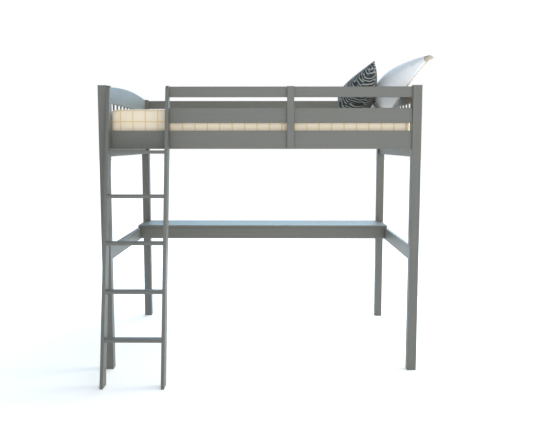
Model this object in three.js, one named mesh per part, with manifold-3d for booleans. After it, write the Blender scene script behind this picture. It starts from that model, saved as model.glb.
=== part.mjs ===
// Full-size loft bed with a ladder on the left and a long narrow desk under its back edge.
// Millimetres, +Z up. While the pieces are made, X is measured from the middle of the bed, Y from
// the front faces of the front posts and Z from the floor. The last lines move the finished bed so
// that its origin is on the floor, under the middle of its overall box.

import * as THREE from 'three';
import * as BufferGeometryUtils from 'three/addons/utils/BufferGeometryUtils.js';
import Module from 'manifold-3d';

const wasm = await Module();
wasm.setup();

// ---- driving dimensions -------------------------------------------------------------------
const BED_LENGTH = 2030;         // outer face to outer face of the posts
const BED_DEPTH = 1432;
const POST_HEIGHT = 1830;
const POST = 58;                 // square posts
const GAP = 0.3;                 // air between touching pieces
const EASE = 3;                  // rounded long edges of the boards
const SAWN_EASE = 2;             // rounded outline of the pieces sawn to a curve
const DRILL_OVERRUN = 1;         // a cutting rod runs this far past the face it enters

const RAIL_THICK = 20;           // side rails and guards
const RAIL_SETBACK = 12;         // their outer faces sit this far inside the post faces
const SIDE_RAIL_Z = [1433, 1547];
const LOWER_GUARD_Z = [1596, 1690];
const TOP_GUARD_Z = [1756, 1822];
const UPRIGHT = { x: [171, 216], z: [1437, 1823], thick: 20 };

const END_THICK = 22;            // end panels and stretchers
const END_PANEL_X = 975;         // inner face of the end panels
const STRETCHER_X = 978;         // inner face of the desk-height stretchers
const END_RAIL_Z = [1382, 1495];
const ARCH = { bottom: 1728, shoulder: 1822, peak: 1854 };
const SPINDLE = { count: 11, pitch: 105, diameter: 13, intoRail: 10, sides: 12 };
const STRETCHER_Z = [705, 796];

const LEDGER = 22;               // square strip under the slat ends
const LEDGER_EASE = 1;
const SLAT = { count: 12, width: 90, thick: 20, reach: 900, endGap: 2 };

const LADDER = {
  stileThick: 20.5,
  leftX: -956,                   // left face of each stile
  rightX: -588.5,
  footFront: -362,               // front edge at the floor
  rake: 0.193,                   // how far a stile leans back for each unit of height
  depth: 82,                     // front to back, measured level
  top: 1828,
  noseHeight: 34,                // the front top corner is rounded off over this height
  noseLength: 36,
};
const RUNG = { depth: 58, thick: 20, ease: 5, setback: 1, bottoms: [270, 556, 847, 1132, 1404] };

const DESK = { top: 816, thick: 18, front: 1077, halfLength: 997 };
const APRON = { z: [709, 797], front: 1086, thick: 20 };

const MATTRESS = { halfLength: 954, y: [42, 1394], z: [1476, 1684], corner: 30, edge: 24 };

const BOLT = { shank: 8, headDiameter: 18, headThick: 4, intoRail: 62, heights: [1464, 1516] };
const SCREW = { shank: 5, headDiameter: 11, headThick: 2.5, length: 45 };
const LEFT_SCREW_Z = [1625, 1745]; // the left stile is screwed to the post at these heights
const DRILL_CLEARANCE = 0.6;     // added to a shank's diameter for its hole

// Each cushion: size is up its lean, across the bed and through its thickness. skew moves the
// thickest part towards the lower edge, bend bows the whole cushion, and upperShare is the part of
// the thickness that lies above the seam.
const CUSHIONS = {
  white_pillow: {
    finish: 'whiteCotton', size: [424, 501, 142], at: [964, 423, 1877],
    roll: 6.7, lean: -52.7, turn: -1.4, skew: 0.46, bend: 44, upperShare: 0.56,
  },
  dark_cushion: {
    finish: 'darkWeave', size: [381, 396, 200], at: [631, 345, 1880],
    roll: 3, lean: -49.2, turn: -7.6, skew: 0.35, bend: -50, upperShare: 0.31,
  },
};
const SEAM = 8;                  // thickness left at a cushion's seam
const CUSHION_PULL = 0.07;       // share of a side's half length that its middle is drawn in by
const CUSHION_STEPS = 12;

// ---- derived places -----------------------------------------------------------------------
const postOuter = BED_LENGTH / 2;
const postInner = postOuter - POST;
const backY = BED_DEPTH - POST;  // front faces of the back posts
const frontRailY = [RAIL_SETBACK, RAIL_SETBACK + RAIL_THICK];
const backRailY = [BED_DEPTH - frontRailY[1], BED_DEPTH - frontRailY[0]];
const middleOf = (span) => (span[0] + span[1]) / 2;
const railCentreY = { front: middleOf(frontRailY), back: middleOf(backRailY) };
const betweenPostsY = [POST + GAP, backY - GAP];
const rightScrewZ = [middleOf(LOWER_GUARD_Z), middleOf(TOP_GUARD_Z)]; // into the ends of the guards

// ---- finishes -----------------------------------------------------------------------------
const finishes = {
  paint: { color: 0x7c8280, roughness: 0.5, metalness: 0 },
  slatPine: { color: 0xd9b98a, roughness: 0.7, metalness: 0 },
  ticking: { color: 0xe4d8c0, roughness: 0.9, metalness: 0 },
  whiteCotton: { color: 0xe6edf2, roughness: 0.9, metalness: 0 },
  darkWeave: { color: 0x2e353b, roughness: 0.85, metalness: 0 },
  zinc: { color: 0xa8abad, roughness: 0.35, metalness: 1 },
};

const bed = new THREE.Group();

function addMesh(name, geometry, finish) {
  const mesh = new THREE.Mesh(geometry, new THREE.MeshStandardMaterial(finishes[finish]));
  mesh.name = name;
  bed.add(mesh);
  return mesh;
}

// ---- solids -------------------------------------------------------------------------------
function welded(geometry) {
  const bare = geometry.index ? geometry : BufferGeometryUtils.mergeVertices(geometry);
  bare.deleteAttribute('normal');
  bare.deleteAttribute('uv');
  return BufferGeometryUtils.mergeVertices(bare, 1e-3);
}

function toSolid(geometry) {
  const merged = welded(geometry.clone());
  return new wasm.Manifold(new wasm.Mesh({
    numProp: 3,
    vertProperties: new Float32Array(merged.attributes.position.array),
    triVerts: new Uint32Array(merged.index.array),
  }));
}

function fromSolid(solid) {
  const mesh = solid.getMesh();
  const geometry = new THREE.BufferGeometry();
  geometry.setAttribute('position', new THREE.BufferAttribute(new Float32Array(mesh.vertProperties), 3));
  geometry.setIndex(new THREE.BufferAttribute(new Uint32Array(mesh.triVerts), 1));
  return geometry;
}

function cut(geometry, tools) {
  let solid = toSolid(geometry);
  for (const tool of tools) solid = solid.subtract(toSolid(tool));
  return fromSolid(solid);
}

function join(geometries) {
  let solid = toSolid(geometries[0]);
  for (const extra of geometries.slice(1)) solid = solid.add(toSolid(extra));
  return fromSolid(solid);
}

// A rectangle with quarter-round corners, centred on the origin.
function roundedRectangle(width, height, radius) {
  const [w, h] = [width / 2, height / 2];
  const shape = new THREE.Shape();
  shape.moveTo(w, -h + radius);
  shape.absarc(w - radius, h - radius, radius, 0, Math.PI / 2);
  shape.absarc(-w + radius, h - radius, radius, Math.PI / 2, Math.PI);
  shape.absarc(-w + radius, -h + radius, radius, Math.PI, 1.5 * Math.PI);
  shape.absarc(w - radius, -h + radius, radius, 1.5 * Math.PI, 2 * Math.PI);
  return shape;
}

// A board that fills the box x, y, z, with its long edges eased and its ends cut square.
function board(x, y, z, ease = EASE) {
  const spans = { x: x[1] - x[0], y: y[1] - y[0], z: z[1] - z[0] };
  const longest = Object.keys(spans).reduce((a, b) => (spans[b] > spans[a] ? b : a));
  const section = { x: [spans.z, spans.y], y: [spans.x, spans.z], z: [spans.x, spans.y] }[longest];
  const profile = roundedRectangle(section[0], section[1], ease);
  const settings = { depth: spans[longest], bevelEnabled: false, curveSegments: 3 };
  const geometry = new THREE.ExtrudeGeometry(profile, settings);
  geometry.translate(0, 0, -spans[longest] / 2);
  if (longest === 'x') geometry.rotateY(Math.PI / 2);
  if (longest === 'y') geometry.rotateX(Math.PI / 2);
  geometry.translate((x[0] + x[1]) / 2, (y[0] + y[1]) / 2, (z[0] + z[1]) / 2);
  return geometry;
}

// A board with an outline drawn in Y and Z, its thickness along X and centred on X = 0.
function sawnBoard(outline, thick, curveSegments) {
  const ease = SAWN_EASE;
  const geometry = new THREE.ExtrudeGeometry(outline, {
    depth: thick - 2 * ease,
    curveSegments,
    bevelEnabled: true,
    bevelThickness: ease,
    bevelSize: ease,
    bevelOffset: -ease,
    bevelSegments: 2,
  });
  geometry.translate(0, 0, ease - thick / 2);
  return geometry.rotateX(Math.PI / 2).rotateZ(Math.PI / 2);
}

// A round rod along X or Z, from one end to the other, with its centre line at the other two values.
function rod(axis, diameter, from, to, a, b, sides = 16) {
  const geometry = new THREE.CylinderGeometry(diameter / 2, diameter / 2, to - from, sides);
  if (axis === 'x') geometry.rotateZ(Math.PI / 2).translate((from + to) / 2, a, b);
  if (axis === 'z') geometry.rotateX(Math.PI / 2).translate(a, b, (from + to) / 2);
  return geometry;
}

// ---- end frames: posts, arched panels and stretchers ----------------------------------------
function postGeometry(side, end) {
  const x = side < 0 ? [-postOuter, -postInner] : [postInner, postOuter];
  const y = end === 'front' ? [0, POST] : [backY, BED_DEPTH];
  const body = board(x, y, [0, POST_HEIGHT]);
  const from = x[0] - DRILL_OVERRUN;
  const to = x[1] + DRILL_OVERRUN;
  const y0 = railCentreY[end];
  const holes = BOLT.heights.map((z) => rod('x', BOLT.shank + DRILL_CLEARANCE, from, to, y0, z));
  if (side < 0 && end === 'front') {
    const tip = LADDER.leftX + LADDER.stileThick - SCREW.length - DRILL_OVERRUN;
    for (const z of LEFT_SCREW_Z) {
      holes.push(rod('x', SCREW.shank + DRILL_CLEARANCE, tip, to, y0, z));
    }
  }
  return cut(body, holes);
}

// The arched board has a straight lower edge and a shallow circular crown.
function archGeometry(side) {
  const span = betweenPostsY[1] - betweenPostsY[0];
  const rise = ARCH.peak - ARCH.shoulder;
  const radius = (span * span / 4 + rise * rise) / (2 * rise);
  const half = Math.asin(span / 2 / radius);
  const shape = new THREE.Shape();
  shape.moveTo(-span / 2, ARCH.bottom);
  shape.lineTo(span / 2, ARCH.bottom);
  shape.absarc(0, ARCH.peak - radius, radius, Math.PI / 2 - half, Math.PI / 2 + half);
  const geometry = sawnBoard(shape, END_THICK, 28);
  return geometry.translate(side * (END_PANEL_X + END_THICK / 2), BED_DEPTH / 2, 0);
}

// The lower end rail and its row of spindles are glued into one ladder-like piece.
function endPanelGeometry(side) {
  const centre = side * (END_PANEL_X + END_THICK / 2);
  const rail = board([centre - END_THICK / 2, centre + END_THICK / 2], betweenPostsY, END_RAIL_Z);
  const pieces = [rail];
  const first = BED_DEPTH / 2 - SPINDLE.pitch * (SPINDLE.count - 1) / 2;
  for (let i = 0; i < SPINDLE.count; i += 1) {
    const y = first + i * SPINDLE.pitch;
    const foot = END_RAIL_Z[1] - SPINDLE.intoRail;
    pieces.push(rod('z', SPINDLE.diameter, foot, ARCH.bottom - GAP, centre, y, SPINDLE.sides));
  }
  return join(pieces);
}

function addEnd(side) {
  const hand = side < 0 ? 'left' : 'right';
  addMesh(`post_front_${hand}`, postGeometry(side, 'front'), 'paint');
  addMesh(`post_back_${hand}`, postGeometry(side, 'back'), 'paint');
  addMesh(`arch_rail_${hand}`, archGeometry(side), 'paint');
  addMesh(`end_panel_${hand}`, endPanelGeometry(side), 'paint');
  const x = [side * STRETCHER_X, side * (STRETCHER_X + END_THICK)].sort((a, b) => a - b);
  addMesh(`stretcher_${hand}`, board(x, betweenPostsY, STRETCHER_Z), 'paint');
}

// ---- long sides: side rails, guards, uprights, slat ledgers -----------------------------------
function railGeometry(x, y, z, drilledEnds) {
  const body = board(x, y, z);
  const tools = drilledEnds.map((hole) => (
    rod('x', hole.diameter, hole.from, hole.to, middleOf(y), hole.z)));
  return cut(body, tools);
}

function boltHoles() {
  const diameter = BOLT.shank + DRILL_CLEARANCE;
  const deep = postInner - BOLT.intoRail - DRILL_OVERRUN;
  const mouth = postInner + DRILL_OVERRUN;
  return BOLT.heights.flatMap((z) => [
    { diameter, from: -mouth, to: -deep, z },
    { diameter, from: deep, to: mouth, z },
  ]);
}

function screwHole(z) {
  const diameter = SCREW.shank + DRILL_CLEARANCE;
  const from = LADDER.rightX;
  return { diameter, from, to: from + SCREW.length + DRILL_OVERRUN, z };
}

// The span of a strip that stands against a rail's outer or inner face.
function againstRail(end, face, thick) {
  const rail = end === 'front' ? frontRailY : backRailY;
  const towardsFront = (end === 'front') === (face === 'outer');
  return towardsFront ? [rail[0] - GAP - thick, rail[0] - GAP] : [rail[1] + GAP, rail[1] + GAP + thick];
}

function addSide(end) {
  const y = end === 'front' ? frontRailY : backRailY;
  const full = [-postInner + GAP, postInner - GAP];
  const byLadder = [LADDER.rightX + LADDER.stileThick + GAP, full[1]];
  const guardX = end === 'front' ? byLadder : full;
  addMesh(`side_rail_${end}`, railGeometry(full, y, SIDE_RAIL_Z, boltHoles()), 'paint');
  for (const [name, z] of [['lower_guard', LOWER_GUARD_Z], ['top_guard', TOP_GUARD_Z]]) {
    const holes = end === 'front' ? [screwHole(middleOf(z))] : [];
    addMesh(`${name}_${end}`, railGeometry(guardX, y, z, holes), 'paint');
  }

  const outward = againstRail(end, 'outer', UPRIGHT.thick);
  addMesh(`guard_upright_${end}`, board(UPRIGHT.x, outward, UPRIGHT.z), 'paint');

  const inward = againstRail(end, 'inner', LEDGER);
  const ledgerZ = [SIDE_RAIL_Z[0], SIDE_RAIL_Z[0] + LEDGER];
  addMesh(`slat_ledger_${end}`, board(full, inward, ledgerZ, LEDGER_EASE), 'slatPine');
}

function addSlats() {
  const z = [SIDE_RAIL_Z[0] + LEDGER + GAP, SIDE_RAIL_Z[0] + LEDGER + GAP + SLAT.thick];
  const y = [frontRailY[1] + SLAT.endGap, backRailY[0] - SLAT.endGap];
  const pitch = 2 * SLAT.reach / (SLAT.count - 1);
  for (let i = 0; i < SLAT.count; i += 1) {
    const middle = -SLAT.reach + i * pitch;
    const name = `slat_${String(i + 1).padStart(2, '0')}`;
    addMesh(name, board([middle - SLAT.width / 2, middle + SLAT.width / 2], y, z), 'slatPine');
  }
}

// ---- ladder ---------------------------------------------------------------------------------
const stileFront = (height) => LADDER.footFront + LADDER.rake * height;

// Outline in Y and Z: level foot, raked front edge and a rounded nose. The back edge is raked up to
// the side rail, plumb against it, and above it raked again until it is flush with the inner faces
// of the guards, where it turns plumb so that nothing stands over the mattress.
function stileOutline() {
  const backAt = (height) => stileFront(height) + LADDER.depth;
  const heightOfBack = (y) => (y - LADDER.footFront - LADDER.depth) / LADDER.rake;
  const againstRailY = frontRailY[0] - GAP;
  const shoulder = SIDE_RAIL_Z[1] + GAP;
  const plumbY = frontRailY[1];
  const noseStart = LADDER.top - LADDER.noseHeight;
  const noseEnd = stileFront(noseStart) + LADDER.noseLength;
  const shape = new THREE.Shape();
  shape.moveTo(LADDER.footFront, 0);
  shape.lineTo(backAt(0), 0);
  shape.lineTo(againstRailY, heightOfBack(againstRailY));
  shape.lineTo(againstRailY, shoulder);
  shape.lineTo(backAt(shoulder), shoulder);
  shape.lineTo(plumbY, heightOfBack(plumbY));
  shape.lineTo(plumbY, LADDER.top);
  shape.lineTo(noseEnd, LADDER.top);
  shape.quadraticCurveTo(stileFront(LADDER.top), LADDER.top, stileFront(noseStart), noseStart);
  return shape;
}

function stileGeometry(left, screwHeights) {
  const right = left + LADDER.stileThick;
  const geometry = sawnBoard(stileOutline(), LADDER.stileThick, 8);
  geometry.translate(middleOf([left, right]), 0, 0);
  const [from, to] = [left - DRILL_OVERRUN, right + DRILL_OVERRUN];
  const tools = screwHeights.map((z) => (
    rod('x', SCREW.shank + DRILL_CLEARANCE, from, to, railCentreY.front, z)));
  return cut(geometry, tools);
}

function addLadder() {
  addMesh('ladder_stile_left', stileGeometry(LADDER.leftX, LEFT_SCREW_Z), 'paint');
  addMesh('ladder_stile_right', stileGeometry(LADDER.rightX, rightScrewZ), 'paint');
  const x = [LADDER.leftX + LADDER.stileThick + GAP, LADDER.rightX - GAP];
  RUNG.bottoms.forEach((bottom, i) => {
    const front = stileFront(bottom + RUNG.thick / 2) + RUNG.setback;
    const rung = board(x, [front, front + RUNG.depth], [bottom, bottom + RUNG.thick], RUNG.ease);
    addMesh(`ladder_rung_${i + 1}`, rung, 'paint');
  });
}

// ---- desk -----------------------------------------------------------------------------------
function deskTopGeometry() {
  const z = [DESK.top - DESK.thick, DESK.top];
  const slab = board([-DESK.halfLength, DESK.halfLength], [DESK.front, BED_DEPTH], z);
  const notchX = postInner - GAP;
  const notchY = backY - GAP;
  const notches = [-1, 1].map((side) => {
    const notch = new THREE.BoxGeometry(POST + 2 * GAP, 2 * POST, 2 * DESK.thick);
    return notch.translate(side * (notchX + POST / 2 + GAP), notchY + POST, middleOf(z));
  });
  return cut(slab, notches);
}

function addDesk() {
  addMesh('desk_top', deskTopGeometry(), 'paint');
  const apronX = [-STRETCHER_X + GAP, STRETCHER_X - GAP];
  const apronY = [APRON.front, APRON.front + APRON.thick];
  addMesh('desk_apron', board(apronX, apronY, APRON.z), 'paint');
  const backRailX = [-postInner + GAP, postInner - GAP];
  addMesh('desk_back_rail', board(backRailX, backRailY, APRON.z), 'paint');
}

// ---- bolts and screws -----------------------------------------------------------------------
// A domed head and a plain shank turned about one axis, with the underside of the head at zero.
function fastenerGeometry(shank, headDiameter, headThick, length) {
  const [r, head] = [shank / 2, headDiameter / 2];
  const profile = [
    [0, -length], [r, -length], [r, 0], [head, 0], [head, headThick * 0.45],
    [head * 0.72, headThick * 0.9], [head * 0.3, headThick], [0, headThick],
  ].map(([x, y]) => new THREE.Vector2(x, y));
  return new THREE.LatheGeometry(profile, 16);
}

// outward is +1 when the head points along +X and -1 when it points along -X.
function addFastener(name, size, length, seat, y, z, outward) {
  const geometry = fastenerGeometry(size.shank, size.headDiameter, size.headThick, length);
  geometry.rotateZ(-outward * Math.PI / 2).translate(seat + outward * GAP, y, z);
  addMesh(name, geometry, 'zinc');
}

function addFasteners() {
  for (const end of ['front', 'back']) {
    for (const side of [-1, 1]) {
      BOLT.heights.forEach((z, i) => {
        const hand = side < 0 ? 'left' : 'right';
        const name = `rail_bolt_${end}_${hand}_${i + 1}`;
        addFastener(name, BOLT, POST + BOLT.intoRail, side * postOuter, railCentreY[end], z, side);
      });
    }
  }
  const y = railCentreY.front;
  const leftSeat = LADDER.leftX + LADDER.stileThick;
  LEFT_SCREW_Z.forEach((z, i) => {
    addFastener(`ladder_screw_left_${i + 1}`, SCREW, SCREW.length, leftSeat, y, z, 1);
  });
  rightScrewZ.forEach((z, i) => {
    addFastener(`ladder_screw_right_${i + 1}`, SCREW, SCREW.length, LADDER.rightX, y, z, -1);
  });
}

// ---- bedding --------------------------------------------------------------------------------
function addMattress() {
  const { halfLength, y, z, corner, edge } = MATTRESS;
  const outline = roundedRectangle(2 * halfLength, y[1] - y[0], corner);
  const geometry = new THREE.ExtrudeGeometry(outline, {
    depth: z[1] - z[0] - 2 * edge,
    curveSegments: 6,
    bevelEnabled: true,
    bevelThickness: edge,
    bevelSize: edge,
    bevelOffset: -edge,
    bevelSegments: 4,
  });
  geometry.translate(0, (y[0] + y[1]) / 2, z[0] + edge);
  addMesh('mattress', geometry, 'ticking');
}

// A square cushion made from a thin box: its two large faces swell between the seams, and its
// sides pull in between the corners.
function cushionGeometry({ size: [length, width, thick], skew, bend, upperShare }) {
  const fullness = (t) => 1 - Math.min(Math.abs(t), 1) ** 2.4;
  const drawnIn = (t) => 1 - CUSHION_PULL * (1 - t * t);
  const geometry = welded(new THREE.BoxGeometry(2, 2, 2, CUSHION_STEPS, CUSHION_STEPS, 1));
  const position = geometry.attributes.position;
  for (let i = 0; i < position.count; i += 1) {
    const [u, v] = [position.getX(i), position.getY(i)];
    const upper = position.getZ(i) > 0;
    const x = u * drawnIn(v) * length / 2;
    const y = v * drawnIn(u) * width / 2;
    const swell = (fullness(u + skew * (1 - u * u)) * fullness(v)) ** 0.55 * thick;
    const height = upper ? SEAM / 2 + swell * upperShare : -SEAM / 2 - swell * (1 - upperShare);
    position.setXYZ(i, x, y, height + bend * (1 - u * u));
  }
  return geometry;
}

function addCushions() {
  for (const [name, cushion] of Object.entries(CUSHIONS)) {
    const mesh = addMesh(name, cushionGeometry(cushion), cushion.finish);
    const angles = [cushion.roll, cushion.lean, cushion.turn].map(THREE.MathUtils.degToRad);
    mesh.rotation.set(...angles, 'ZYX');
    mesh.position.set(...cushion.at);
  }
}

addEnd(-1);
addEnd(1);
addSide('front');
addSide('back');
addSlats();
addLadder();
addDesk();
addFasteners();
addMattress();
addCushions();

const overall = new THREE.Box3().setFromObject(bed, true);
const middle = overall.getCenter(new THREE.Vector3());
bed.position.set(-middle.x, -middle.y, 0);

export default bed;
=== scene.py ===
"""Looks for a grey loft bed with a ladder and a desk: paint, pine, steel, mattress and cushions."""
import math

import bmesh
import bpy
from mathutils import Euler, Matrix, Vector, noise
from mathutils.bvhtree import BVHTree


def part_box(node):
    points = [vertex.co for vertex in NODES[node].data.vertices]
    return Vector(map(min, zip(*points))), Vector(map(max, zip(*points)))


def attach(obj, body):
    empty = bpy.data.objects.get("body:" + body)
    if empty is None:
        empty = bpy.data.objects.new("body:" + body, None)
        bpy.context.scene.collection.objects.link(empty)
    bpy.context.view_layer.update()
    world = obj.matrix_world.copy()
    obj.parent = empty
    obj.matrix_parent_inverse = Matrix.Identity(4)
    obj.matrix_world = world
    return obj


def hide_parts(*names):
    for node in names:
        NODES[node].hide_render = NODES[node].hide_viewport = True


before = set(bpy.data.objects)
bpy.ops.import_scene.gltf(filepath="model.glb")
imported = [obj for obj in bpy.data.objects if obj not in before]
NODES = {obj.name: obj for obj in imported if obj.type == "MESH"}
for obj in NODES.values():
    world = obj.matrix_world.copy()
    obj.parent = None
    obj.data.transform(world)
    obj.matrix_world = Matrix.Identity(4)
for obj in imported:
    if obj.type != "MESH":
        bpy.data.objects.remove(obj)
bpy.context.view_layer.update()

# ---- places read from the frame -------------------------------------------------------------
LEFT_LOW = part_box("post_front_left")[0]
RIGHT_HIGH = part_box("post_front_right")[1]
BED_X = (LEFT_LOW.x + RIGHT_HIGH.x) / 2
FRONT_Y = LEFT_LOW.y
BED = Vector((BED_X, FRONT_Y, 0.0))      # middle of the bed's length, front faces of the posts, floor


# ---- camera, floor and light ------------------------------------------------------------------
FILM_WIDTH, LENS = 36.0, 44.74           # mm
EYE = Vector((0.0806, -4.1919, 1.4618))  # from BED
TILT_DOWN, TURN_LEFT = 0.1033, 0.0091    # radians
REAR_POWER, RIGHT_POWER, FRONT_POWER = 232.0, 200.0, 123.0      # watts
SKY_BLUE, WINDOW_WHITE, FILL_WHITE = (0.50, 0.74, 0.94), (1.0, 0.995, 0.965), (1.0, 1.0, 0.98)


def add_camera():
    data = bpy.data.cameras.new("studio_camera")
    data.sensor_width = FILM_WIDTH
    data.lens = LENS
    data.clip_end = 60.0
    camera = bpy.data.objects.new("studio_camera", data)
    camera.location = BED + EYE
    camera.rotation_euler = Euler((math.pi / 2 - TILT_DOWN, 0.0, TURN_LEFT))
    bpy.context.scene.collection.objects.link(camera)
    bpy.context.scene.camera = camera


def add_softbox(name, place, aim, size, power, colour):
    """A wide studio lamp; its place and what it aims at are measured from BED."""
    data = bpy.data.lights.new(name, "AREA")
    data.shape = "RECTANGLE"
    data.size, data.size_y = size
    data.energy = power
    data.color = colour
    light = bpy.data.objects.new(name, data)
    light.location = BED + Vector(place)
    heading = BED + Vector(aim) - light.location
    light.rotation_euler = heading.to_track_quat("-Z", "Y").to_euler()
    bpy.context.scene.collection.objects.link(light)


def add_stage():
    mesh = bpy.data.meshes.new("studio_floor")
    bm = bmesh.new()
    bmesh.ops.create_grid(bm, x_segments=8, y_segments=8, size=60.0)
    bm.to_mesh(mesh)
    bm.free()
    floor = bpy.data.objects.new("studio_floor", mesh)
    bpy.context.scene.collection.objects.link(floor)
    floor.data.materials.append(floor_material())
    bpy.context.scene.world = studio_air()
    add_softbox("rear_sky", (0.4, 4.4, 3.4), (0.0, 1.2, 0.8), (4.0, 2.0), REAR_POWER, SKY_BLUE)
    add_softbox("right_window", (4.6, 1.3, 3.3), (-0.6, 0.7, 1.6), (2.4, 2.0), RIGHT_POWER, WINDOW_WHITE)
    add_softbox("front_fill", (0.9, -6.0, 2.6), (0.0, 0.7, 0.9), (5.0, 2.5), FRONT_POWER, FILL_WHITE)
    bpy.context.scene.view_settings.view_transform = "Standard"


def studio_air():
    """White to the eye. The light it gives is bluish and dim from the left and fuller from the right;
    near the horizon it is nearly dark from the left, and a strong blue from behind the bed."""
    world = bpy.data.worlds.new("studio_air")
    world.use_nodes = True
    tree = world.node_tree
    heading = add_node(tree, "ShaderNodeTexCoord").outputs["Object"]
    split = add_node(tree, "ShaderNodeSeparateXYZ", {0: heading}).outputs
    from_right = spread(tree, split[0], -0.7, 0.8, 0.0, 1.0)
    side = mixed(tree, from_right, rgb(0.30, 0.38, 0.48), rgb(0.82, 0.82, 0.79))
    near = mixed(tree, from_right, rgb(0.12, 0.12, 0.12), rgb(0.80, 0.79, 0.76))
    horizon = mixed(tree, spread(tree, split[1], 0.5, 0.9, 0.0, 1.0), near, rgb(0.50, 0.90, 1.30))
    low = mixed(tree, spread(tree, split[2], 0.0, 0.35, 1.0, 0.0), side, horizon)
    eye = add_node(tree, "ShaderNodeLightPath").outputs["Is Camera Ray"]
    tree.links.new(mixed(tree, eye, low, rgb(1.0, 1.0, 1.0)), tree.nodes["Background"].inputs["Color"])
    return world


# ---- node helpers -----------------------------------------------------------------------------
def feed(tree, socket, value):
    """Links another node's output to a socket, or sets the socket's own value."""
    if isinstance(value, bpy.types.NodeSocket):
        tree.links.new(value, socket)
    else:
        socket.default_value = value


def add_node(tree, kind, inputs=(), **settings):
    """A new node; inputs maps a socket's name or number to a value or to another node's output."""
    node = tree.nodes.new(kind)
    for key, value in settings.items():
        setattr(node, key, value)
    for key, value in dict(inputs).items():
        feed(tree, node.inputs[key], value)
    return node


def new_group(name, inputs, outputs):
    """A shared effect, with the sockets that its nodes read from and the ones that they feed."""
    group = bpy.data.node_groups.new(name, "ShaderNodeTree")
    for label, kind, value in inputs:
        socket = group.interface.new_socket(label, in_out="INPUT", socket_type=kind)
        socket.default_value = value
    for label, kind in outputs:
        group.interface.new_socket(label, in_out="OUTPUT", socket_type=kind)
    return group, group.nodes.new("NodeGroupInput").outputs, group.nodes.new("NodeGroupOutput").inputs


def use_group(tree, group, inputs):
    return add_node(tree, "ShaderNodeGroup", inputs, node_tree=group).outputs


def new_material(name, **constants):
    """A material with its shader, whose even values are set on the shader's own sockets."""
    material = bpy.data.materials.new(name)
    material.use_nodes = True
    tree = material.node_tree
    shader = tree.nodes["Principled BSDF"]
    for key, value in constants.items():
        shader.inputs[key.replace("_", " ")].default_value = value
    return material, tree, shader


def bump(tree, shader, height, strength, distance):
    """Makes the surface look raised where height is high; distance is in metres."""
    inputs = {"Height": height, "Strength": strength, "Distance": distance}
    tree.links.new(add_node(tree, "ShaderNodeBump", inputs).outputs["Normal"], shader.inputs["Normal"])


def rgb(red, green, blue):
    return (red, green, blue, 1.0)


def mixed(tree, factor, first, second):
    """A colour between two; 6 and 7 are the numbers of a Mix node's colour inputs, 2 of its output."""
    return add_node(tree, "ShaderNodeMix", {0: factor, 6: first, 7: second}, data_type="RGBA").outputs[2]


def calc(tree, operation, first, second=0.0):
    return add_node(tree, "ShaderNodeMath", {0: first, 1: second}, operation=operation).outputs[0]


def vector_calc(tree, operation, first, second):
    return add_node(tree, "ShaderNodeVectorMath", {0: first, 1: second}, operation=operation).outputs[0]


def spread(tree, value, low, high, out_low, out_high):
    """Turns the range from low to high into the range from out_low to out_high, and stops at its ends."""
    inputs = {"Value": value, "From Min": low, "From Max": high, "To Min": out_low, "To Max": out_high}
    return add_node(tree, "ShaderNodeMapRange", inputs).outputs[0]


def noise_texture(tree, place, scale, detail):
    return add_node(tree, "ShaderNodeTexNoise", {"Vector": place, "Scale": scale, "Detail": detail}).outputs


def spread_noise(tree, value, out_low, out_high):
    """Spreads a noise over a range: most of its values lie between 0.3 and 0.7."""
    return spread(tree, value, 0.3, 0.7, out_low, out_high)


# ---- shared effects ---------------------------------------------------------------------------
def build_painted_board_group():
    """Satin paint over wood: faint streaks of the grain, roller stipple and uneven tone."""
    inputs = [("Paint", "NodeSocketColor", rgb(0.2, 0.2, 0.2)),
              ("Stretch", "NodeSocketVector", (1.0, 1.0, 1.0))]
    outputs = [("Colour", "NodeSocketColor"), ("Roughness", "NodeSocketFloat"),
               ("Height", "NodeSocketFloat")]
    tree, given, result = new_group("painted_board", inputs, outputs)
    place = add_node(tree, "ShaderNodeTexCoord").outputs["Object"]
    along = vector_calc(tree, "MULTIPLY", place, given["Stretch"])
    streaks = add_node(tree, "ShaderNodeTexNoise",
                       {"Vector": along, "Scale": 1.0, "Detail": 5.0, "Roughness": 0.6}).outputs[0]
    cloud = noise_texture(tree, place, 3.1, 2.0)[0]
    stipple = noise_texture(tree, place, 420.0, 2.0)[0]
    tone = calc(tree, "ADD", spread_noise(tree, streaks, 0.93, 1.06),
                spread_noise(tree, cloud, -0.03, 0.03))
    tree.links.new(vector_calc(tree, "MULTIPLY", given["Paint"], tone), result["Colour"])
    tree.links.new(spread_noise(tree, cloud, 0.40, 0.50), result["Roughness"])
    grain = calc(tree, "MULTIPLY", streaks, 0.7)
    tree.links.new(calc(tree, "ADD", grain, calc(tree, "MULTIPLY", stipple, 0.3)), result["Height"])
    return tree


SLUB_SCALES = (40.0, 400.0, 1.0)         # slubs are long one way of the cloth and thin the other


def build_weave_group():
    """Plain weave on metre coordinates: threads over and under, with slubs."""
    inputs = [("Place", "NodeSocketVector", (0.0, 0.0, 0.0)), ("Threads", "NodeSocketFloat", 900.0)]
    outputs = [("Thread", "NodeSocketFloat"), ("Slub", "NodeSocketFloat")]
    tree, given, result = new_group("plain_weave", inputs, outputs)
    split = add_node(tree, "ShaderNodeSeparateXYZ", {0: given["Place"]}).outputs
    warp = calc(tree, "SINE", calc(tree, "MULTIPLY", split[0], given["Threads"]))
    weft = calc(tree, "SINE", calc(tree, "MULTIPLY", split[1], given["Threads"]))
    tree.links.new(spread(tree, calc(tree, "MULTIPLY", warp, weft), -1.0, 1.0, 0.0, 1.0), result["Thread"])
    stretched = vector_calc(tree, "MULTIPLY", given["Place"], SLUB_SCALES)
    tree.links.new(noise_texture(tree, stretched, 1.0, 3.0)[0], result["Slub"])
    return tree


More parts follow.
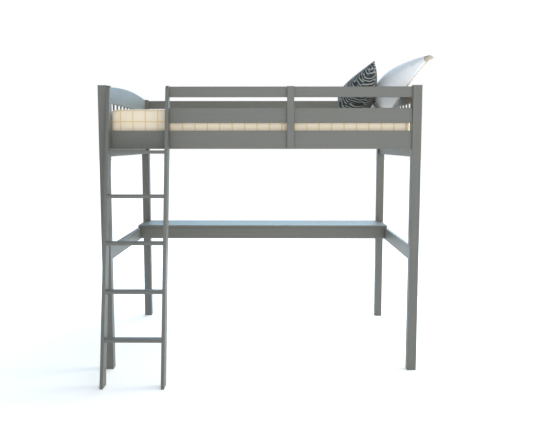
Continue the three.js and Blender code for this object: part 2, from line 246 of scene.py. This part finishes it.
PAINTED_BOARD = build_painted_board_group()
WEAVE = build_weave_group()


# ---- materials --------------------------------------------------------------------------------
NEAR_GLOW, FAR_GLOW = 0.25, 0.66         # the lit studio floor's own light, which keeps shadows faint
NEAR_REACH, FAR_REACH = 1.5, 5.0         # it grows between these distances from the middle of the floor


def floor_material():
    material, tree, shader = new_material("pale_floor", Roughness=0.8)
    place = add_node(tree, "ShaderNodeTexCoord").outputs["Object"]
    mottle = noise_texture(tree, place, 2.0, 3.0)[0]
    colour = mixed(tree, mottle, rgb(0.90, 0.90, 0.90), rgb(0.93, 0.93, 0.93))
    tree.links.new(colour, shader.inputs["Base Color"])
    reach = add_node(tree, "ShaderNodeVectorMath", {0: place}, operation="LENGTH").outputs["Value"]
    glow = spread(tree, reach, NEAR_REACH, FAR_REACH, NEAR_GLOW, FAR_GLOW)
    tree.links.new(add_node(tree, "ShaderNodeCombineXYZ", {0: glow, 1: glow, 2: glow}).outputs[0],
                   shader.inputs["Emission Color"])
    shader.inputs["Emission Strength"].default_value = 1.0
    return material


PAINT = rgb(0.1295, 0.1310, 0.1175)
STREAKS = (2.2, 150.0)                   # scales of a grain along the board and across it
PINE_RINGS = (0.9, 9.0)
PINE_FIBRES = (6.0, 500.0)
GROWTH_RINGS = 26.0                      # rings over the whole range of the noise that bends them
PINE, LATEWOOD, DARK_FIBRE = rgb(0.68, 0.50, 0.30), rgb(0.47, 0.28, 0.13), rgb(0.52, 0.35, 0.19)


def grain_stretch(axis, scales):
    along, across = scales
    return [along if letter == axis else across for letter in "xyz"]


def paint_material(axis):
    """Satin grey paint, with the wood's grain running along one axis."""
    material, tree, shader = new_material(f"grey_paint_along_{axis}", Specular_IOR_Level=0.5)
    board = use_group(tree, PAINTED_BOARD, {"Paint": PAINT, "Stretch": grain_stretch(axis, STREAKS)})
    tree.links.new(board["Colour"], shader.inputs["Base Color"])
    tree.links.new(board["Roughness"], shader.inputs["Roughness"])
    bump(tree, shader, board["Height"], 0.25, 0.0006)
    return material


def pine_material(axis):
    """Planed pine with growth rings cut lengthways, darker latewood lines and fine fibres."""
    material, tree, shader = new_material(f"planed_pine_along_{axis}", Roughness=0.62)
    place = add_node(tree, "ShaderNodeTexCoord").outputs["Object"]
    ring_place = vector_calc(tree, "MULTIPLY", place, grain_stretch(axis, PINE_RINGS))
    waver = noise_texture(tree, ring_place, 1.4, 3.0)[0]
    rings = calc(tree, "FRACT", calc(tree, "MULTIPLY", waver, GROWTH_RINGS))
    fibre_place = vector_calc(tree, "MULTIPLY", place, grain_stretch(axis, PINE_FIBRES))
    fibre = noise_texture(tree, fibre_place, 1.0, 3.0)[0]
    base = mixed(tree, spread(tree, rings, 0.55, 1.0, 0.0, 0.55), PINE, LATEWOOD)
    colour = mixed(tree, spread(tree, fibre, 0.35, 0.75, 0.0, 0.35), base, DARK_FIBRE)
    tree.links.new(colour, shader.inputs["Base Color"])
    bump(tree, shader, fibre, 0.3, 0.0004)
    return material


DULL_ZINC, BRIGHT_ZINC = rgb(0.50, 0.51, 0.53), rgb(0.66, 0.66, 0.67)
DULL_GREY, BRIGHT_GREY = rgb(0.10, 0.105, 0.10), rgb(0.15, 0.155, 0.15)


def steel_material(name, dull, bright):
    """Steel of fasteners, finely mottled between a dull and a bright colour."""
    material, tree, shader = new_material(name, Metallic=1.0)
    place = add_node(tree, "ShaderNodeTexCoord").outputs["Object"]
    mottle = noise_texture(tree, place, 900.0, 3.0)[0]
    tree.links.new(mixed(tree, mottle, dull, bright), shader.inputs["Base Color"])
    tree.links.new(spread_noise(tree, mottle, 0.25, 0.42), shader.inputs["Roughness"])
    bump(tree, shader, mottle, 0.1, 0.0002)
    return material


CHECK = 0.0788                           # pitch of the printed check, which is also the quilting
CHECK_START = BED + Vector((-0.8848, 0.0500, 1.6050))   # where three of its lines meet
LINE_WIDTH, HALO_WIDTH = 0.0062, 0.020
THREADS_IN_CHECK = 5.0
CREAM, WARM_CREAM = rgb(0.83, 0.725, 0.570), rgb(0.80, 0.66, 0.42)
THREAD_TAN, GOLD = rgb(0.60, 0.50, 0.34), rgb(0.66, 0.45, 0.17)


def check_lines(tree, coordinate, width):
    """1 in the middle of a line every CHECK metres, falling to 0 at width from it."""
    turns = calc(tree, "MULTIPLY", coordinate, 1.0 / CHECK)
    offset = calc(tree, "ABSOLUTE", calc(tree, "SUBTRACT", calc(tree, "FRACT", turns), 0.5))
    return spread(tree, offset, 0.5 - width / CHECK, 0.5, 0.0, 1.0)


def fine_threads(tree, coordinate):
    """Faint single threads beside and between the lines of the check."""
    turns = calc(tree, "FRACT", calc(tree, "MULTIPLY", coordinate, THREADS_IN_CHECK / CHECK))
    offset = calc(tree, "ABSOLUTE", calc(tree, "SUBTRACT", turns, 0.5))
    return spread(tree, offset, 0.43, 0.5, 0.0, 1.0)


def ticking_material():
    """Cream cotton with a golden check, faint single threads, and a warmer cream near the lines."""
    material, tree, shader = new_material("mattress_ticking", Roughness=0.88, Sheen_Weight=0.25,
                                          Sheen_Roughness=0.6)
    flat = add_node(tree, "ShaderNodeUVMap", uv_map="cloth").outputs[0]
    u, v = add_node(tree, "ShaderNodeSeparateXYZ", {0: flat}).outputs[:2]
    lines = calc(tree, "MAXIMUM", check_lines(tree, u, LINE_WIDTH), check_lines(tree, v, LINE_WIDTH))
    halo = calc(tree, "MAXIMUM", check_lines(tree, u, HALO_WIDTH), check_lines(tree, v, HALO_WIDTH))
    threads = calc(tree, "MAXIMUM", fine_threads(tree, u), fine_threads(tree, v))
    weave = use_group(tree, WEAVE, {"Place": flat, "Threads": 3200.0})
    cream = mixed(tree, calc(tree, "MULTIPLY", halo, 0.25), CREAM, WARM_CREAM)
    threaded = mixed(tree, calc(tree, "MULTIPLY", threads, 0.22), cream, THREAD_TAN)
    checked = mixed(tree, calc(tree, "MULTIPLY", lines, 0.78), threaded, GOLD)
    tone = spread_noise(tree, weave["Slub"], 0.95, 1.04)
    tree.links.new(vector_calc(tree, "MULTIPLY", checked, tone), shader.inputs["Base Color"])
    height = calc(tree, "ADD", calc(tree, "MULTIPLY", weave["Thread"], 0.5), weave["Slub"])
    bump(tree, shader, height, 0.35, 0.0006)
    return material


KNIT_SLANT, KNIT_START = 0.80, 0.3960    # the oatmeal knit begins past the line u - 0.80 v = 0.3960
COOL_WHITE, CLEAR_WHITE = rgb(0.82, 0.85, 0.875), rgb(0.88, 0.895, 0.905)
DARK_OAT, PALE_OAT = rgb(0.36, 0.31, 0.25), rgb(0.66, 0.60, 0.51)


def cotton_material():
    """White cotton percale; the oatmeal knit of the back also covers the top front corner."""
    material, tree, shader = new_material("white_cotton", Roughness=0.9, Sheen_Weight=0.05,
                                          Specular_IOR_Level=0.2)
    flat = add_node(tree, "ShaderNodeUVMap", uv_map="cloth").outputs[0]
    u, v = add_node(tree, "ShaderNodeSeparateXYZ", {0: flat}).outputs[:2]
    weave = use_group(tree, WEAVE, {"Place": flat, "Threads": 4200.0})
    stitch = use_group(tree, WEAVE, {"Place": flat, "Threads": 800.0})
    diagonal = calc(tree, "SUBTRACT", u, calc(tree, "MULTIPLY", v, KNIT_SLANT))
    knitted = calc(tree, "GREATER_THAN", diagonal, KNIT_START)
    white = mixed(tree, spread_noise(tree, weave["Slub"], 0.0, 1.0), COOL_WHITE, CLEAR_WHITE)
    oat = mixed(tree, stitch["Thread"], DARK_OAT, PALE_OAT)
    tree.links.new(mixed(tree, knitted, white, oat), shader.inputs["Base Color"])
    knit = calc(tree, "MULTIPLY", calc(tree, "MULTIPLY", stitch["Thread"], knitted), 2.5)
    fine = calc(tree, "ADD", calc(tree, "MULTIPLY", weave["Thread"], 0.4), weave["Slub"])
    bump(tree, shader, calc(tree, "ADD", knit, fine), 0.4, 0.0006)
    return material


SHELLS = 18.0                            # woven shells to a metre
SHELL_RISE = 0.030                       # how far from its shell's middle the arcs are centred
SLANT = 1.1                              # how far the pattern leans over for each metre across
WIDENING = 0.45                          # below 1, this draws the shells out across the cloth
WANDER = (0.03, 0.03, 0.0)               # how far noise bends the arcs
ARC_PITCH = 0.0165                       # from one woven arc to the next
DEEP_SLATE, SLATE, ARC_THREAD = rgb(0.021, 0.035, 0.048), rgb(0.046, 0.060, 0.072), rgb(0.47, 0.47, 0.43)


def dark_weave_material():
    """Slate cloth with pale nested arcs woven in, row upon row of shells that wander a little."""
    material, tree, shader = new_material("dark_weave", Roughness=0.85, Sheen_Weight=0.06,
                                          Specular_IOR_Level=0.3)
    flat = add_node(tree, "ShaderNodeUVMap", uv_map="cloth").outputs[0]
    weave = use_group(tree, WEAVE, {"Place": flat, "Threads": 2400.0})
    u, v = add_node(tree, "ShaderNodeSeparateXYZ", {0: flat}).outputs[:2]
    leaning = calc(tree, "SUBTRACT", u, calc(tree, "MULTIPLY", v, SLANT))
    across = calc(tree, "MULTIPLY", v, WIDENING)
    widened = add_node(tree, "ShaderNodeCombineXYZ", {0: leaning, 1: across}).outputs[0]
    waver = noise_texture(tree, flat, 14.0, 1.0)[1]
    bent = add_node(tree, "ShaderNodeVectorMath", {0: waver, 1: WANDER, 2: widened},
                    operation="MULTIPLY_ADD").outputs[0]
    shell = add_node(tree, "ShaderNodeTexVoronoi", {"Vector": bent, "Scale": SHELLS, "Randomness": 0.6},
                     voronoi_dimensions="2D")
    centre = vector_calc(tree, "ADD", shell.outputs["Position"], (SHELL_RISE, 0.0, 0.0))
    distance = add_node(tree, "ShaderNodeVectorMath", {0: bent, 1: centre}, operation="DISTANCE")
    level = calc(tree, "FRACT", calc(tree, "MULTIPLY", distance.outputs["Value"], 1.0 / ARC_PITCH))
    ridge = calc(tree, "ABSOLUTE", calc(tree, "SUBTRACT", level, 0.5))
    line = spread(tree, ridge, 0.27, 0.40, 0.0, 1.0)
    broken = calc(tree, "MULTIPLY", line, spread(tree, weave["Slub"], 0.25, 0.6, 0.35, 1.0))
    cloth = mixed(tree, spread_noise(tree, weave["Slub"], 0.0, 1.0), DEEP_SLATE, SLATE)
    tree.links.new(mixed(tree, broken, cloth, ARC_THREAD), shader.inputs["Base Color"])
    height = calc(tree, "ADD", calc(tree, "MULTIPLY", weave["Thread"], 0.6), broken)
    bump(tree, shader, height, 0.5, 0.0008)
    return material


# ---- cloth ------------------------------------------------------------------------------------
def finished_piece(name, bm, material):
    """A smooth-shaded object from a bmesh, at the origin, with one material."""
    mesh = bpy.data.meshes.new(name)
    bm.to_mesh(mesh)
    bm.free()
    mesh.polygons.foreach_set("use_smooth", [True] * len(mesh.polygons))
    mesh.materials.append(material)
    piece = bpy.data.objects.new(name, mesh)
    bpy.context.scene.collection.objects.link(piece)
    return piece


def inflate(piece, pressure, cap, held, frames=20):
    """Blows the closed cloth up a little with the held points pinned, keeps every point within cap of
    its start, and applies it."""
    start = [v.co.copy() for v in piece.data.vertices]
    cloth = piece.modifiers.new("cloth", "CLOTH")
    cloth.settings.quality = 6
    cloth.settings.mass = 0.3
    cloth.settings.tension_stiffness = 12.0
    cloth.settings.compression_stiffness = 12.0
    cloth.settings.bending_stiffness = 0.4
    cloth.settings.use_pressure = True
    cloth.settings.uniform_pressure_force = pressure
    cloth.settings.effector_weights.gravity = 0.0
    cloth.collision_settings.use_collision = False
    cloth.settings.vertex_group_mass = held
    cloth.settings.pin_stiffness = 1.0
    scene = bpy.context.scene
    cloth.point_cache.frame_start, cloth.point_cache.frame_end = 1, frames
    for number in range(1, frames + 1):
        scene.frame_set(number)
    settled = piece.evaluated_get(bpy.context.evaluated_depsgraph_get()).to_mesh()
    moved = [v.co.copy() for v in settled.vertices]
    piece.modifiers.remove(cloth)
    for vertex, before, after in zip(piece.data.vertices, start, moved):
        step = after - before
        if step.length > cap:
            step = step.normalized() * cap
        vertex.co = before + step
    scene.frame_set(1)


def dress_soft_piece(piece, node):
    """Subdivides a soft piece once and puts it in its CAD solid's place."""
    modifier = piece.modifiers.new("smooth", "SUBSURF")
    modifier.levels = modifier.render_levels = 1
    modifier.uv_smooth = "NONE"
    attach(piece, node)
    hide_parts(node)


# ---- mattress ---------------------------------------------------------------------------------
CELLS = 4                                # mesh cells across one square of the quilting
CORNER_SOFTNESS = 0.030                  # radius of the upright corners
RIM_SOFTNESS = 0.022                     # radius of the top and bottom edges
CORNER_SAG = 0.024                       # how far the cover sinks at each top corner
SAG_REACH = 0.026                        # how far from the corner that sinking fades
SLACK = Vector((0.002, 0.003, 0.0))      # room left on each side for the cover to swell into
CROWN = (0.0, 0.0, 0.005)                # how far the quilting may rise over the mattress's own size
ON_LINE = 0.002                          # a point this close to a quilting line is stitched
RESTING = 0.004                          # a point this close to the slats rests on them
STITCHED_RIM = 0.010                     # the top edge is sewn this far in from the sides
SEWN_SHARE = 0.6                         # and down this share of its rounding
EDGE_ROOM = 0.4                          # no slice comes nearer to a side than this share of a cell
QUILT_PRESSURE, QUILT_SWELL, QUILT_FRAMES = 2.5, 0.006, 10


def slice_along(bm, axis, places):
    """Cuts every face of the mesh at each of these places along one axis."""
    normal = Vector([1.0 if i == axis else 0.0 for i in range(3)])
    for place in places:
        geometry = bm.verts[:] + bm.edges[:] + bm.faces[:]
        bmesh.ops.bisect_plane(bm, geom=geometry, plane_co=normal * place, plane_no=normal)


def slab_on_quilting(low, high):
    """A box sliced where the quilting lines run, with its flat map in metres from the lines' meeting."""
    bm = bmesh.new()
    bmesh.ops.create_cube(bm, size=1.0)
    bmesh.ops.scale(bm, vec=high - low, verts=bm.verts[:])
    bmesh.ops.translate(bm, vec=(low + high) / 2, verts=bm.verts[:])
    step = CHECK / CELLS
    for axis in range(3):
        first = math.ceil((low[axis] - CHECK_START[axis]) / step + EDGE_ROOM)
        last = math.floor((high[axis] - CHECK_START[axis]) / step - EDGE_ROOM)
        slice_along(bm, axis, [CHECK_START[axis] + k * step for k in range(first, last + 1)])
    flat = bm.loops.layers.uv.new("cloth")
    for face in bm.faces:
        across = max(range(3), key=lambda i: abs(face.normal[i]))
        shown = [i for i in range(3) if i != across]
        for loop in face.loops:
            loop[flat].uv = [loop.vert.co[i] - CHECK_START[i] for i in shown]
    return bm


def near_line(value, start):
    """Distance from a coordinate to the closest quilting line."""
    turns = (value - start) / CHECK
    return abs(turns - round(turns)) * CHECK


def soften_block(bm, low, high):
    """Rounds a box's upright corners, then its rims, and lets the top corners sink."""
    centre, half = (low + high) / 2, (high - low) / 2
    for vertex in bm.verts:
        place = vertex.co - centre
        over_x = max(abs(place.x) - half.x + CORNER_SOFTNESS, 0.0)
        over_y = max(abs(place.y) - half.y + CORNER_SOFTNESS, 0.0)
        if over_x > 0.0 and over_y > 0.0:
            keep = max(over_x, over_y) / math.hypot(over_x, over_y)
            place.x = math.copysign(half.x - CORNER_SOFTNESS + over_x * keep, place.x)
            place.y = math.copysign(half.y - CORNER_SOFTNESS + over_y * keep, place.y)
        outside = max(abs(place.x) - half.x, abs(place.y) - half.y, over_x + over_y - CORNER_SOFTNESS)
        over_side = outside + RIM_SOFTNESS
        over_top = abs(place.z) - half.z + RIM_SOFTNESS
        if over_side > 0.0 and over_top > 0.0:
            keep = max(over_side, over_top) / math.hypot(over_side, over_top)
            inward = Vector((place.x, place.y * half.x / half.y, 0.0)).normalized()
            if abs(place.x) < half.x - CORNER_SOFTNESS:
                inward = Vector((0.0, math.copysign(1.0, place.y), 0.0))
            elif abs(place.y) < half.y - CORNER_SOFTNESS:
                inward = Vector((math.copysign(1.0, place.x), 0.0, 0.0))
            place -= inward * over_side * (1.0 - keep)
            place.z -= math.copysign(over_top * (1.0 - keep), place.z)
        if place.z > 0.0:
            away = math.hypot(half.x - abs(place.x), half.y - abs(place.y))
            high_share = place.z / half.z
            place.z -= CORNER_SAG * math.exp(-away / SAG_REACH) * high_share ** 2
        vertex.co = centre + place


def is_stitched(place, low, high):
    """True where the quilting, the slats or the sewn top edge hold a point of the cover still.

    The distance inwards is taken from the right end on both sides of the origin, which also holds
    the first squares at the left end."""
    on_line = [near_line(place[i], CHECK_START[i]) < ON_LINE for i in range(3)]
    inwards = min(high.x - abs(place.x), high.y - place.y, place.y - low.y)
    resting = place.z < low.z + RESTING
    below_top = on_line[2] and place.z < high.z - STITCHED_RIM
    top_edge = place.z > high.z - RIM_SOFTNESS * SEWN_SHARE and inwards < STITCHED_RIM
    return resting or on_line[0] or on_line[1] or below_top or top_edge


def add_mattress():
    low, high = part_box("mattress")
    inner_low, inner_high = low + SLACK, high - SLACK
    bm = slab_on_quilting(inner_low, inner_high)
    soften_block(bm, inner_low, inner_high)
    piece = finished_piece("mattress_quilted", bm, ticking_material())
    stitched = [v.index for v in piece.data.vertices if is_stitched(v.co, inner_low, inner_high)]
    piece.vertex_groups.new(name="stitched").add(stitched, 1.0, "REPLACE")
    inflate(piece, QUILT_PRESSURE, QUILT_SWELL, "stitched", QUILT_FRAMES)
    for vertex in piece.data.vertices:
        vertex.co = [min(max(vertex.co[i], low[i]), high[i] + CROWN[i]) for i in range(3)]
    dress_soft_piece(piece, "mattress")


# ---- cushions ---------------------------------------------------------------------------------
CUSHION_CELLS = 44                       # mesh cells along each side
BACK_MAP = 2.0                           # the flat map of a cushion's back lies this far to the side
DRAW_IN = 0.085                          # how far each side pulls in between its corners, as a share
SEAM = 0.006                             # thickness at the seams
EAR_ABOVE = 0.1                          # share of a corner's own thickness that lies above its seam
GATHER = 0.014                           # depth of the puckers along a seam
GATHER_START, GATHER_REACH = 0.01, 0.03  # they grow over the first distance and fade over the second
PUCKERS = 26.0                           # scale of their noise
SIDE_FALL = 2.4                          # larger keeps a face full nearer to its sides
EAR_POINT = 8                            # larger keeps a corner's own thickness closer to its tip
EARS_FROM = 0.93                         # the corners beyond this share of both half sides are held
STUFFING_PRESSURE, STUFFING_SWELL = 3.0, 0.010
BOARD_GAP, CUSHION_GAP = 0.009, 0.003    # left where a cushion leans on the end of the bed or the other
PRESS_REACH = 0.04                       # the deepest dent that a neighbour may press into a cushion


def cushion(size, place, angles, skew, bend, upper_share, ear, fall):
    """A square cushion on its lean: two swelling faces between pinched seams and drawn-in sides.

    size is length, width and the most thickness between the faces. angles are the turns about Z, Y
    and X. skew moves the fullest part of the upper and the lower face along the length, bend bows the
    whole, upper_share is the upper face's part of the thickness, ear is the corners' own thickness,
    and a larger fall keeps a face full nearer to its ends."""
    length, width, thick = size
    bm = bmesh.new()
    bmesh.ops.create_cube(bm, size=2.0)
    for axis in range(2):
        slice_along(bm, axis, [2.0 * k / CUSHION_CELLS - 1.0 for k in range(1, CUSHION_CELLS)])
    flat = bm.loops.layers.uv.new("cloth")
    for face in bm.faces:
        shift = BACK_MAP if face.normal.z < -0.5 else 0.0
        for loop in face.loops:
            loop[flat].uv = (loop.vert.co.x * length / 2 + shift, loop.vert.co.y * width / 2)
    for vertex in bm.verts:
        u, v, side = vertex.co
        x = u * (1 - DRAW_IN * (1 - v * v)) * length / 2
        y = v * (1 - DRAW_IN * (1 - u * u)) * width / 2
        slid = min(abs(u + skew[side < 0] * (1 - u * u)), 1.0)
        swell = ((1 - slid ** fall) * (1 - abs(v) ** SIDE_FALL)) ** 0.5 * thick
        to_edge = min((1 - abs(u)) * length, (1 - abs(v)) * width) / 2
        gather = GATHER * math.exp(-to_edge / GATHER_REACH) * min(to_edge / GATHER_START, 1.0)
        swell += gather * noise.noise(Vector((x, y, side)) * PUCKERS)
        corner = ear * abs(u * v) ** EAR_POINT
        upper = SEAM / 2 + EAR_ABOVE * corner + swell * upper_share
        lower = SEAM / 2 + (1 - EAR_ABOVE) * corner + swell * (1 - upper_share)
        height = upper if side > 0 else -lower
        vertex.co = (x, y, height + bend * (1 - u * u))
    turns = [Matrix.Rotation(math.radians(a), 4, letter) for a, letter in zip(angles, "ZYX")]
    matrix = Matrix.Translation(BED + Vector(place)) @ turns[0] @ turns[1] @ turns[2]
    bmesh.ops.transform(bm, matrix=matrix, verts=bm.verts[:])
    return bm


def stuff(piece, node):
    """Fills a cushion: pressure swells it between its ears, and it settles flat on the mattress."""
    held = piece.vertex_groups.new(name="ears")
    flat = [spot.uv for spot in piece.data.uv_layers["cloth"].data]
    spots = [(abs(u - BACK_MAP if u > BACK_MAP / 2 else u), abs(v)) for u, v in flat]
    ear_u, ear_v = (EARS_FROM * max(spot[i] for spot in spots) for i in range(2))
    for loop, (u, v) in zip(piece.data.loops, spots):
        if u > ear_u and v > ear_v:
            held.add([loop.vertex_index], 1.0, "REPLACE")
    inflate(piece, STUFFING_PRESSURE, STUFFING_SWELL, "ears")
    bed_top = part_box(node)[0].z
    for vertex in piece.data.vertices:
        vertex.co.z = max(vertex.co.z, bed_top)


def press_clear(piece, neighbours, gap):
    """Dents a cushion where a neighbour would cut into it or come within the gap."""
    for neighbour in neighbours:
        mesh = neighbour.data
        faces = [tuple(polygon.vertices) for polygon in mesh.polygons]
        skin = BVHTree.FromPolygons([v.co for v in mesh.vertices], faces)
        for vertex in piece.data.vertices:
            spot, normal = skin.find_nearest(vertex.co)[:2]
            if (vertex.co - spot).dot(normal) < gap and (vertex.co - spot).length < PRESS_REACH:
                vertex.co = spot + normal * gap


def add_white_pillow():
    """The pillow leans on the arched board, and three presses bring it clear of that."""
    bm = cushion((0.478, 0.524, 0.152), (0.965, 0.420, 1.8445), (-3.0, -54.4, 1.9), skew=(0.444, 0.560),
                 bend=0.0135, upper_share=0.912, ear=0.045, fall=3.0)
    piece = finished_piece("white_pillow_soft", bm, cotton_material())
    stuff(piece, "white_pillow")
    press_clear(piece, [NODES["end_panel_right"]] + [NODES["arch_rail_right"]] * 3, BOARD_GAP)
    dress_soft_piece(piece, "white_pillow")
    return piece


def add_dark_cushion(pillow_behind):
    """The cushion leans on the white pillow, which dents it a little."""
    bm = cushion((0.372, 0.374, 0.224), (0.655, 0.3595, 1.8520), (-10.3, -54.6, 3.1), skew=(0.500, 0.430),
                 bend=-0.0153, upper_share=0.385, ear=0.0, fall=2.18)
    piece = finished_piece("dark_cushion_soft", bm, dark_weave_material())
    stuff(piece, "dark_cushion")
    press_clear(piece, [pillow_behind], CUSHION_GAP)
    dress_soft_piece(piece, "dark_cushion")


# ---- CAD pieces -------------------------------------------------------------------------------
def dress_frame():
    """Gives every CAD piece its material, with the grain along its longest side."""
    paints = {axis: paint_material(axis) for axis in "xyz"}
    pines = {axis: pine_material(axis) for axis in "xy"}
    zinc = steel_material("zinc_steel", DULL_ZINC, BRIGHT_ZINC)
    grey_steel = steel_material("grey_finished_steel", DULL_GREY, BRIGHT_GREY)
    for name, node in NODES.items():
        low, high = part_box(name)
        size = high - low
        longest = "xyz"[max(range(3), key=lambda i: size[i])]
        if name.startswith("rail_bolt"):
            material = zinc
        elif name.startswith("ladder_screw"):
            material = grey_steel
        elif name.startswith("slat_"):
            material = pines["x" if "ledger" in name else "y"]
        else:
            material = paints[longest]
        node.data.materials.clear()
        node.data.materials.append(material)


add_camera()
add_stage()
dress_frame()
add_mattress()
add_dark_cushion(add_white_pillow())
